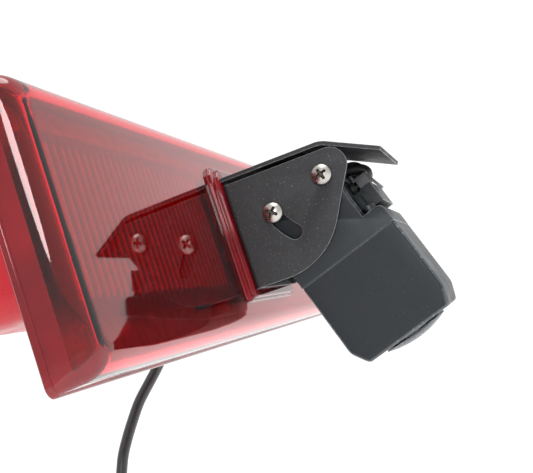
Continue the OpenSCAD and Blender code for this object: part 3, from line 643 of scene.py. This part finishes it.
def optic_panel(name, side, node):
    """Fluted screen: front y = base + depth * cos(2 pi x / pitch), its height less at its corners.

    The flutes run out towards the far end, and a flat border is left all round."""
    depth, start, end, half = 0.42, 30.0, 132.4, 19.5
    base_y, back_y, edge = -8.1, -6.9, 0.35
    top_r, low_r, start_r = 5.0, 10.0, 4.0
    top_border, low_border, blend = 3.0, 5.0, 0.6
    x = np.arange(start, end, FLUTE_PITCH / 12)
    flat, back = np.full_like(x, base_y), np.full_like(x, back_y)
    front = base_y + depth * np.cos(2 * math.pi * x / FLUTE_PITCH) * np.clip((end - x) / 5 - 0.9, 0, 1)

    def corner(distance, r):
        """How far a corner of radius r has fallen away at a distance from the side."""
        return r - np.sqrt(np.clip(r**2 - np.clip(r - distance, 0, r) ** 2, 0, None))
    top = half - corner(end - x, top_r) - corner(x - start, start_r)
    low = -half + corner(end - x, low_r) + corner(x - start, start_r)
    profile = [(flat + edge, top), (flat, top - edge), (flat, top - top_border + blend),
               (front, top - top_border), (front, low + low_border), (flat, low + low_border - blend),
               (flat, low + edge), (flat + edge, low), (back, low), (back, top)]
    rings = np.stack([np.stack([side * x, y, z], 1) for y, z in profile], 1)
    panel = loft(name, rings, "lamp", RED_OPTIC_PAINTED_SHADING)

    def unfluted(at, normal):
        """The border's faces."""
        border, end_border = 4.6, 5.6
        along, up = np.abs(at[:, 0]), np.abs(at[:, 2])
        return (up > half - border) | (along > end - end_border) | (along < start + border)
    add_finish(panel, RED_BORDER, unfluted)
    sharp_by_angle(panel, 50)
    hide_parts(node)


lens_cover()
optic_panel("optic_screen_left", -1, "optic_panel_left")
optic_panel("optic_screen_right", 1, "optic_panel_right")
softened("lamp_housing", 0.6, RED_SOLID, angle=40)

# ---------------------------------------------------------------- bracket and head
# The edge materials below paint a highlight along the rounded edges.
softened("bracket", 0.22, POWDER_COAT, angle=35, edge=EDGE_HIGHLIGHT_COAT)
softened("rear_shell", 0.25, HEAD_PLASTIC, segments=2, angle=35, edge=EDGE_HIGHLIGHT_PLASTIC,
         clamp=False)
softened("lead_clamp", 0.3, HEAD_PLASTIC, edge=EDGE_HIGHLIGHT_PLASTIC)
softened("lead_tie", 0.2, TIE)
softened("head_grommet", 0.3, RUBBER)
softened("bracket_grommet", 0.4, RUBBER)
softened("lamp_socket", 0.4, NYLON)

SEAM_Y = -22.8
FRONT_Y = -51.3
HEAD_TOP = 8.45
HEAD_LOW = -24.85
HEAD_HALF_W = 21.3


def soft_corner(y, start, slope, soft=0.5):
    """Slope times how far y is ahead of start, zero behind it, the bend rounded over about soft mm."""
    return slope * soft * np.logaddexp(0, (start - y) / soft)


def front_shell():
    """Rounded rectangles carried along the head.

    In order: seam edge, body, sloped front edges, face, window recess, and back along the inside."""
    mid_window = (HEAD_TOP + HEAD_LOW) / 2
    wall, inner_r = 2.0, 0.6

    def ring(y, inset, r=1.3):
        top = HEAD_TOP - soft_corner(y, FRONT_Y + 5.6, 2.3 / 5.6) - inset
        low = HEAD_LOW + soft_corner(y, FRONT_Y + 5.2, 3.1 / 5.2) + inset
        half_w = HEAD_HALF_W - soft_corner(y, FRONT_Y + 1.2, 0.5, 0.25) - inset
        return flat_ring(half_w, (top - low) / 2, r, y, (top + low) / 2)
    quarter = np.linspace(0, math.pi / 2, 5)
    seam_r, face_r = 0.3, 0.7
    rings = [ring(SEAM_Y, wall, inner_r)]
    rings += [ring(SEAM_Y - seam_r * math.sin(a), seam_r * (1 - math.sin(a))) for a in quarter]
    rings += [ring(y, 0) for y in np.concatenate([[-30, -40], np.arange(-44, FRONT_Y + face_r, -0.35)])]
    rings += [ring(FRONT_Y + face_r * (1 - math.sin(a)), face_r * (1 - math.cos(a))) for a in quarter]
    for hx, hz, r, depth in ((18.7, 13.2, 2.2, 0), (18.6, 13.1, 2.1, 0.1), (18.6, 13.1, 2.1, 1.4),
                             (17.1, 11.6, 1.5, 1.4), (17.1, 11.6, 1.5, 3.0)):
        rings.append(flat_ring(hx, hz, r, FRONT_Y + depth, mid_window))
    rings += [ring(y, wall, inner_r) for y in (FRONT_Y + 3.0, SEAM_Y - 0.5, SEAM_Y - 0.01)]
    rings = from_head(np.array(rings))
    faces = grid_faces(*rings.shape[:2], close_rows=True)
    shell = mesh_piece("front_shell_finished", rings.reshape(-1, 3), faces, "head", HEAD_PLASTIC)
    outward(shell)
    sharp_by_angle(shell, 40)
    seam = from_head([0, SEAM_Y - 0.32, 0])
    ahead = from_head([0, SEAM_Y - 1, 0]) - from_head([0, SEAM_Y, 0])

    def highlighted_edges(at, normal):
        """Rounded long edges, whose normals lean partly sideways, where a highlight is painted."""
        across = np.abs(normal[:, 0])
        return (across > 0.3) & (across < 0.87)

    def seam_lip(at, normal):
        """Faces behind a plane just ahead of the seam, which take a painted highlight."""
        return (at - seam) @ ahead < 0
    # The rounded long edges take a painted highlight.
    add_finish(shell, EDGE_HIGHLIGHT_PLASTIC, highlighted_edges)
    # The seam edge takes a painted highlight.
    add_finish(shell, SEAM_HIGHLIGHT, seam_lip)
    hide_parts("front_shell")


def pan_screws(name, node, seats, shank, body):
    """Pan heads with a cross recess, at seats, each pointing along its own axis.

    The crown is a sphere of radius 1.5 R cut by the edge; the recess outline is
    rho = a + b * exp(-(angle from the nearest arm / w)^4), and its walls lean in towards the floor."""
    radius, height, shank_r = 3.0, 2.4, 1.5
    crown_r = 1.5 * radius
    count = 72
    a = np.linspace(0, 2 * math.pi, count, endpoint=False)
    arm = (a + math.pi / 4) % (math.pi / 2) - math.pi / 4
    rho = 0.86 + 0.94 * np.exp(-(arm / 0.4) ** 4)

    def crown(r):
        return height - crown_r + np.sqrt(crown_r**2 - r**2)
    rim = ((2.85, 0.0), (2.97, 0.08), (radius, 0.25), (radius, 1.0), (2.93, 1.22))
    rings = [(np.full(count, r), z) for r, z in ((shank_r, -shank), (shank_r, 0.0), *rim)]
    for t in (0, 0.3, 0.6, 0.85, 1.0):
        r = (1 - t) * np.full(count, 2.8) + t * rho
        rings.append((r, crown(r)))
    lip = rho * 0.95 - 0.02
    rings += [(lip, crown(lip) - 0.16), (rho * 0.8, height - 1.3), (rho * 0.45, height - 1.5)]
    head = np.array([np.stack([r * np.cos(a), r * np.sin(a), np.broadcast_to(z, count)], 1)
                     for r, z in rings])
    points, faces = [], []
    one = grid_faces(*head.shape[:2])
    one += [list(range(count)), list(range((len(head) - 1) * count, len(head) * count))]
    for seat, axis, turn in seats:
        w = np.array(axis, float)
        u = np.cross(w, (0, 0, 1))
        v = np.cross(w, u)
        c, s = math.cos(turn), math.sin(turn)
        basis = np.stack([c * u + s * v, -s * u + c * v, w])
        shift = len(points) * len(head) * count
        points.append(np.array(seat) + head.reshape(-1, 3) @ basis)
        faces += [[i + shift for i in face] for face in one]
    screws = outward(mesh_piece(name, np.concatenate(points), faces, body, STEEL))
    sharp_by_angle(screws, 38)
    heads = np.array([seat for seat, axis, turn in seats])
    axes = np.array([axis for seat, axis, turn in seats], float)

    def in_recess(at, normal):
        """Faces near a screw's axis and a little under its crown, which take the painted recess shade."""
        from_seat = at[:, None] - heads[None]
        up = (from_seat * axes[None]).sum(-1)
        nearest = np.linalg.norm(from_seat, axis=-1).argmin(1)
        rows = np.arange(len(at))
        height_of = up[rows, nearest]
        away = np.linalg.norm(from_seat[rows, nearest] - height_of[:, None] * axes[nearest], axis=1)
        return (away < 1.78) & (height_of > 0.6) & (height_of < crown(away) - 0.07)
    # The recess faces take dark steel: painted shade.
    add_finish(screws, RECESS_SHADE, in_recess)
    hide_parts(node)


def all_screws():
    """Pivot and lock screws in the two cheeks, and the four that hold the bracket's base."""
    cheek_x, base_y = 22.85, -15.4
    for name, node, z, turn in (("pivot_pan_screws", "pivot_screws", 0.0, 0.35),
                                ("lock_pan_screws", "lock_screws", -18.0, 0.9)):
        seats = [(from_head([s * cheek_x, 0, z]), (s, 0, 0), turn) for s in (-1, 1)]
        pan_screws(name, node, seats, 7.5, "head")
    seats = [((s * 15, base_y, z), (0, -1, 0), 0.4 * s + z) for s in (-1, 1) for z in (-12, 4)]
    pan_screws("bracket_pan_screws", "bracket_screws", seats, 8, "lamp")


front_shell()
all_screws()


def head_lead():
    """The lead: out of the head's top, over in a tight loop and along the bracket into the lamp."""
    loop = [[0, y, z] for y, z in (
        (-5.8, -4), (-5.8, 0), (-5.8, 3.6), (-5.8, 6.4), (-5.3, 8.2), (-4.2, 9.1), (-2.9, 8.9),
        (-1.5, 7.6), (-0.5, 5.9), (0.4, 4))]
    run = [[0, y, z] for y, z in (
        (0.6, 2.5), (4, 2.9), (9, 3.2), (15, 3.1), (21, 2.6), (25.5, 2.1), (27.7, 2))]
    path = smooth_path(np.concatenate([from_head(loop), np.array(run) + PIVOT]), 6)
    lead = tube("head_lead_run", path, CABLE_D / 2, None, JACKET, sides=20)
    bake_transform(lead, "head", "lamp",
             start=np.array((0, -42.0, 9.0)) * MM, end=np.array((0, -18.0, 9.0)) * MM)
    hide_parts("head_lead")


head_lead()


def threaded_studs():
    """Studs whose free ends carry a V thread: r = R - depth * triangle(y / pitch - angle / 2 pi)."""
    radius, depth, pitch = 2.5, 0.42, 0.8
    root_r, root, base, tip = 3.75, 8, 18.0, 33.0
    spacing, count = 95, 32
    a = np.linspace(0, 2 * math.pi, count, endpoint=False)
    y = np.concatenate([[root, base - 0.01, base], np.arange(base + 0.2, tip, pitch / 6), [tip]])
    phase = y[:, None] / pitch - a[None] / (2 * math.pi)
    wave = np.abs(2 * (phase % 1) - 1)
    fade = np.clip(np.minimum(y - base, tip - y) / 0.8, 0, 1)[:, None]
    r = radius - depth * wave * fade
    r[-1] = radius - 0.5
    r[:2] = root_r
    for sign, name in ((-1, "stud_left"), (1, "stud_right")):
        across = sign * spacing + r * np.cos(a)
        rings = np.stack([across, np.repeat(y[:, None], count, 1), r * np.sin(a)], -1)
        stud = loft("threaded_" + name, rings, "lamp", ZINC)
        if sign < 0:
            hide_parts("mounting_studs")


threaded_studs()
for material, nodes in (
        (BOARD, ("led_board_left", "led_board_right", "sensor_board", "ir_board")),
        (RED_RESIN, ("leds_left", "leds_right")),
        (CLEAR_RESIN, ("ir_leds", "light_sensor")),
        (STEEL, ("led_board_screws",)),
        (FOAM, ("rim_gasket",)),
        (BRASS, ("socket_blades", "thread_inserts")),
        (ZINC, ("backing_plate",)),
        (JACKET, ("inner_lead",)),
        (RUBBER, ("shell_seal",)),
        (DARK_SCREW, ("shell_screws",)),
        (DARK_PLATE, ("front_window",)),
        (DOME, ("dome_cover",)),
        (ANODISED, ("lens_barrel",)),
        (COATED_GLASS, ("lens_glass",)),
        (NYLON, ("lens_holder",)),
        (CHIP, ("image_sensor",))):
    for node in nodes:
        slots = frame["nodes"][node].data.materials
        slots.clear()
        slots.append(material)


# ---------------------------------------------------------------- studio
def studio():
    """A pale floor, a white surround that is a little darker towards -X, and two soft lamps."""
    floor = bpy.data.meshes.new("studio_floor")
    reach, drop = 6.0, -0.175
    corners = [(x * reach, y * reach, drop) for x, y in ((-1, -1), (1, -1), (1, 1), (-1, 1))]
    floor.from_pydata(corners, [], [(0, 1, 2, 3)])
    stage = bpy.data.objects.new("studio_floor", floor)
    bpy.context.scene.collection.objects.link(stage)
    paper = Finish("pale_floor", (0.96, 0.96, 0.96), 0.9, Emission_Strength=0.12)
    paper.shader.inputs["Emission Color"].default_value = (1, 1, 1, 1)
    paper.color(paper.ramp(paper.noise(400.0, 2.0),
                           [(0.3, (0.94, 0.94, 0.94)), (0.7, (0.97, 0.97, 0.97))]))
    stage.data.materials.append(paper.material)

    world = bpy.data.worlds.new("studio")
    bpy.context.scene.world = world
    world.use_nodes = True
    nodes, links = world.node_tree.nodes, world.node_tree.links
    backdrop = nodes["Background"]
    backdrop.inputs["Color"].default_value = (1, 1, 1, 1)
    direction = nodes.new("ShaderNodeTexCoord").outputs["Generated"]
    split = nodes.new("ShaderNodeSeparateXYZ")
    shade = nodes.new("ShaderNodeMapRange")
    shade.interpolation_type = "SMOOTHSTEP"
    for key, value in zip(("From Min", "From Max", "To Min", "To Max"), (-0.9, 0.1, 0.9, 1.12)):
        shade.inputs[key].default_value = value
    seen = nodes.new("ShaderNodeLightPath").outputs["Is Camera Ray"]
    pick = nodes.new("ShaderNodeMix")
    pick.inputs["B"].default_value = 1.1
    links.new(direction, split.inputs[0])
    links.new(split.outputs["X"], shade.inputs["Value"])
    links.new(seen, pick.inputs["Factor"])
    links.new(shade.outputs[0], pick.inputs["A"])
    links.new(pick.outputs["Result"], backdrop.inputs["Strength"])

    for name, place, target, size, power in (
            ("softbox_above", (-0.1, -0.35, 0.9), (0, -0.03, 0), (0.9, 0.6), 9.0),
            ("lamp_beside", (-0.835, -0.226, 0.21), (-0.135, -0.006, 0.012), (0.34, 0.22), 2.6)):
        lamp = bpy.data.lights.new(name, "AREA")
        lamp.shape = "ELLIPSE"
        lamp.size, lamp.size_y = size
        lamp.energy = power
        light = bpy.data.objects.new(name, lamp)
        bpy.context.scene.collection.objects.link(light)
        aim = (Vector(place) - Vector(target)).to_track_quat("Z", "Y")
        light.matrix_world = Matrix.Translation(place) @ aim.to_matrix().to_4x4()
    bpy.context.scene.view_settings.view_transform = "Standard"


studio()
